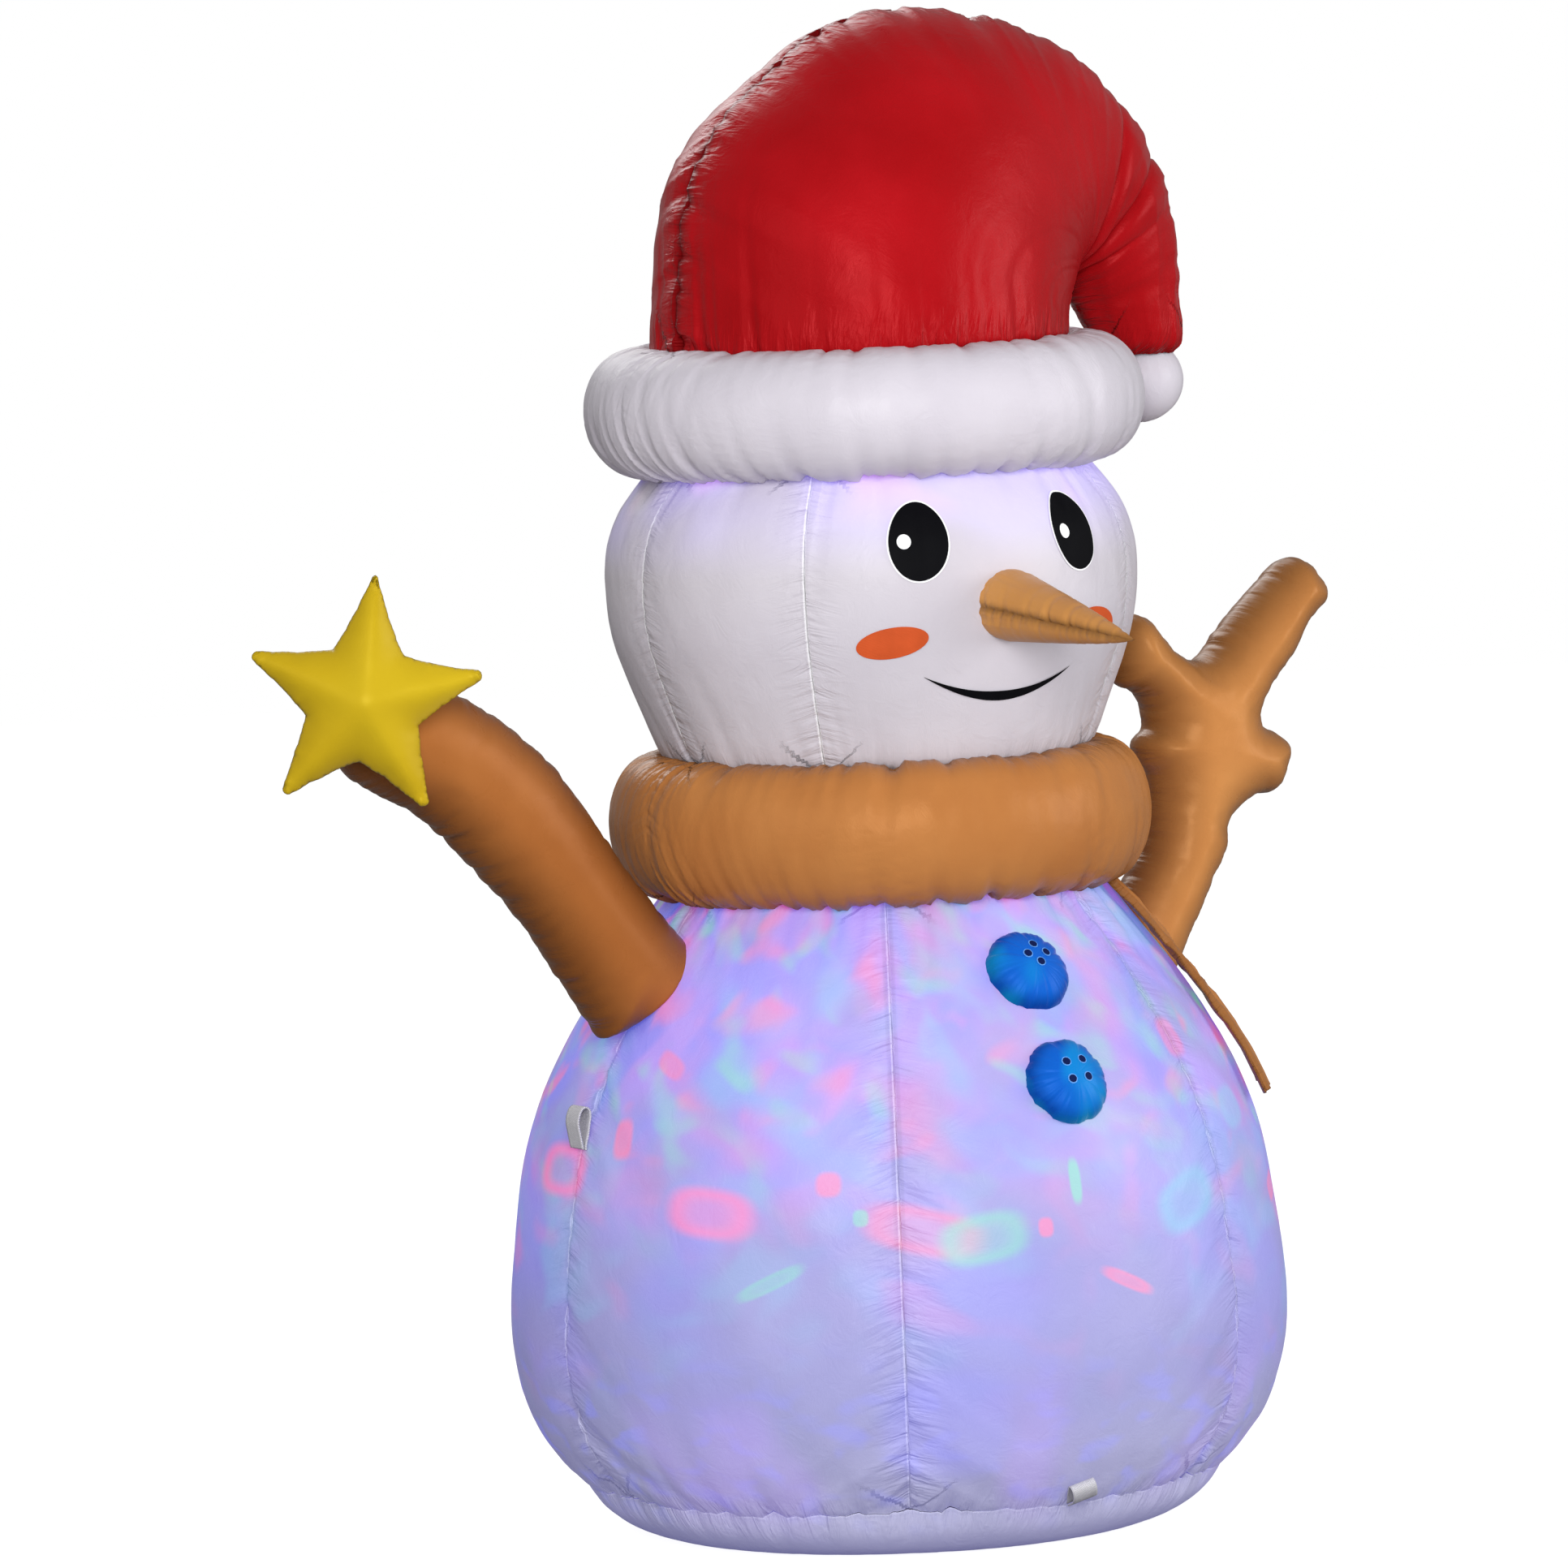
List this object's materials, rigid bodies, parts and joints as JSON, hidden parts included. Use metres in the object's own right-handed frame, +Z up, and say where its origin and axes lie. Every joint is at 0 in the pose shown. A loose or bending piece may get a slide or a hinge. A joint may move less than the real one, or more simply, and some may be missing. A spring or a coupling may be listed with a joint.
{
  "type": "inflatable yard snowman",
  "caption": "Air-filled fabric snowman with stocking hat, scarf, star and branch arms, a blower and a turning party light inside.",
  "frame": {"origin": "centre of the flat base, on the surface that it stands on", "axes": "+Z up, the face looks along -Y, the snowman's own left is +X"},
  "size_m": [0.9911, 0.7051, 1.199],
  "materials": {
    "lit_fabric": "thin plain-woven polyester, lit from inside by moving coloured light",
    "head_fabric": "thin white plain-woven polyester",
    "brim_fabric": "thin white plain-woven polyester",
    "red_satin": "red coated polyester with a soft sheen",
    "brown_satin": "brown coated polyester with a soft sheen",
    "yellow_satin": "yellow coated polyester",
    "nose_fabric": "orange-brown coated polyester",
    "blue_fabric": "blue coated polyester",
    "black_print": "black printed fabric",
    "orange_print": "orange printed fabric",
    "webbing": "grey-white woven webbing",
    "zip_tape": "white woven zip tape with a nylon coil",
    "zip_metal": "plated zinc",
    "steel": "plain steel",
    "black_plastic": "moulded black plastic, fine grain",
    "circuit_board": "green solder mask",
    "led": "clear cap over phosphor",
    "clear_lens": "clear moulded lens dome"
  },
  "bodies": {
    "snowman": {"base_panel": "lit_fabric", "blower_casing": "black_plastic", "blower_clamp_ring": "black_plastic", "blower_flange": "black_plastic", "blower_motor": "steel", "body_panel_back": "lit_fabric", "body_panel_back_left": "lit_fabric", "body_panel_back_right": "lit_fabric", "body_panel_front": "lit_fabric", "body_panel_front_left": "lit_fabric", "body_panel_front_right": "lit_fabric", "button_lower": "blue_fabric", "button_upper": "blue_fabric", "cheek_left": "orange_print", "cheek_right": "orange_print", "dome_motor": "steel", "eye_left": "black_print", "eye_right": "black_print", "hat_brim_back": "brim_fabric", "hat_brim_front": "brim_fabric", "hat_panel_back": "red_satin", "hat_panel_front": "red_satin", "hat_pompom": "brim_fabric", "head_panel_back_left": "head_fabric", "head_panel_back_right": "head_fabric", "head_panel_face": "head_fabric", "head_panel_side_left": "head_fabric", "head_panel_side_right": "head_fabric", "inlet_contacts": "steel", "intake_grille": "black_plastic", "led_emitter": "led", "left_arm_panel_back": "brown_satin", "left_arm_panel_front": "brown_satin", "light_circuit_board": "circuit_board", "light_housing": "black_plastic", "light_stand": "black_plastic", "motor_bridge": "black_plastic", "mouth": "black_print", "nose_panel_lower": "nose_fabric", "nose_panel_upper": "nose_fabric", "power_inlet": "black_plastic", "right_arm_panel_back": "brown_satin", "right_arm_panel_front": "brown_satin", "scarf_band_back": "brown_satin", "scarf_band_front": "brown_satin", "star_panel_back": "yellow_satin", "star_panel_front": "yellow_satin", "tie_loop_back": "webbing", "tie_loop_front": "webbing", "tie_loop_side_left": "webbing", "tie_loop_side_right": "webbing", "zip_coil": "zip_tape", "zip_tape": "zip_tape"},
    "scarf_tail": {"scarf_tail": "brown_satin"},
    "zip_slider": {"zip_slider": "zip_metal"},
    "zip_pull": {"zip_pull": "zip_metal"},
    "impeller": {"impeller": "black_plastic", "impeller_shaft": "steel"},
    "lens_dome": {"lens_dome": "clear_lens", "dome_spindle": "steel"}
  },
  "joints": [
    {"name": "scarf_tail_lift", "type": "hinge", "parent": "snowman", "child": "scarf_tail", "pos_m": [0.16368, -0.0945, 0.5], "axis": [-0.5, -0.866, 0], "range_deg": [0, 45]},
    {"name": "zip_slide", "type": "hinge", "parent": "snowman", "child": "zip_slider", "pos_m": [0, 0, 0.315], "axis": [0, 0, 1], "range_deg": [0, 34]},
    {"name": "zip_pull_swing", "type": "hinge", "parent": "zip_slider", "child": "zip_pull", "pos_m": [0.08658, 0.28318, 0.315], "axis": [0.9563, -0.2924, 0], "range_deg": [0, 160]},
    {"name": "impeller_spin", "type": "hinge", "parent": "snowman", "child": "impeller", "pos_m": [0, 0.2868, 0.165], "axis": [0, 1, 0], "continuous": true},
    {"name": "lens_dome_spin", "type": "hinge", "parent": "snowman", "child": "lens_dome", "pos_m": [0, 0, 0.1535], "axis": [0, 0, 1], "continuous": true}
  ]
}
